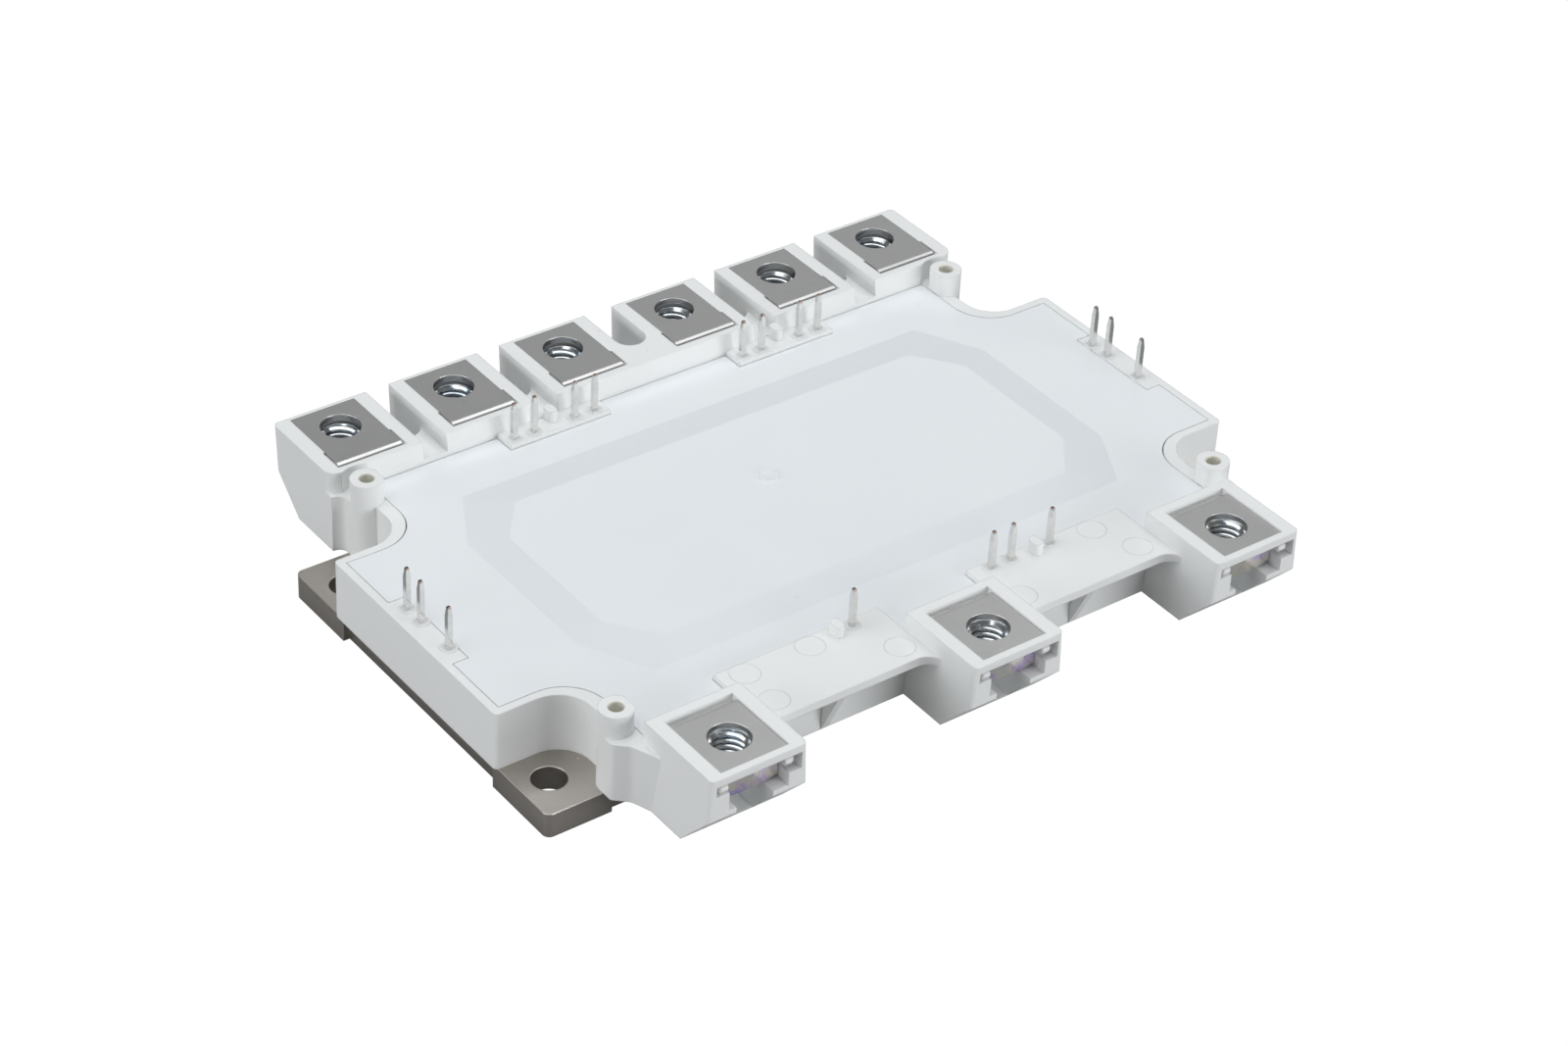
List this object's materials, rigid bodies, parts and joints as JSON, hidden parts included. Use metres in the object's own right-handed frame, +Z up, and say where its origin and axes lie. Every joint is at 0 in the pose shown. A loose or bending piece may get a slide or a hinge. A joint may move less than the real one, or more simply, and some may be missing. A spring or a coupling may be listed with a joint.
{
  "type": "igbt power module",
  "caption": "Flat three-phase transistor module: metal base plate, white moulded case with lid, screw terminals with captive nuts on both long sides, and slim control pins.",
  "frame": {"origin": "middle of the base plate's underside, which is the middle of the four mounting holes", "axes": "+X along the long side, +Y towards the side with six terminals, +Z up through the lid"},
  "size_m": [0.139, 0.1095, 0.0218],
  "materials": {
    "moulding": "glossy white glass-filled polyester moulding",
    "lid_moulding": "glossy white moulding",
    "base_metal": "satin nickel plating over copper",
    "terminal_metal": "satin nickel plating over copper",
    "nut_zinc": "bright zinc-plated steel",
    "pin_tin": "tinned copper alloy",
    "solder": "dull tin solder",
    "copper": "bare copper",
    "ceramic": "white alumina",
    "silicon": "dark silicon with a metallised top",
    "wire": "drawn aluminium wire",
    "sensor": "dark sintered bead"
  },
  "bodies": {
    "root": {"base_plate": "base_metal", "housing": "moulding", "lid": "lid_moulding", "dc_terminal_1": "terminal_metal", "dc_terminal_2": "terminal_metal", "dc_terminal_3": "terminal_metal", "dc_terminal_4": "terminal_metal", "dc_terminal_5": "terminal_metal", "dc_terminal_6": "terminal_metal", "ac_terminal_1": "terminal_metal", "ac_terminal_2": "terminal_metal", "ac_terminal_3": "terminal_metal", "dc_nuts": "nut_zinc", "ac_nuts": "nut_zinc", "control_pins_left": "pin_tin", "control_pins_right": "pin_tin", "control_pins_rear_left": "pin_tin", "control_pins_rear_right": "pin_tin", "control_pin_front_left": "pin_tin", "control_pins_front_right": "pin_tin", "substrate_solder": "solder", "backing_copper": "copper", "ceramic_substrate_u": "ceramic", "copper_tracks_u": "copper", "igbt_chips_u": "silicon", "diode_chips_u": "silicon", "bond_wires_u": "wire", "ceramic_substrate_v": "ceramic", "copper_tracks_v": "copper", "igbt_chips_v": "silicon", "diode_chips_v": "silicon", "bond_wires_v": "wire", "ceramic_substrate_w": "ceramic", "copper_tracks_w": "copper", "igbt_chips_w": "silicon", "diode_chips_w": "silicon", "bond_wires_w": "wire", "pin_bond_wires": "wire", "thermistor": "sensor"}
  },
  "joints": []
}
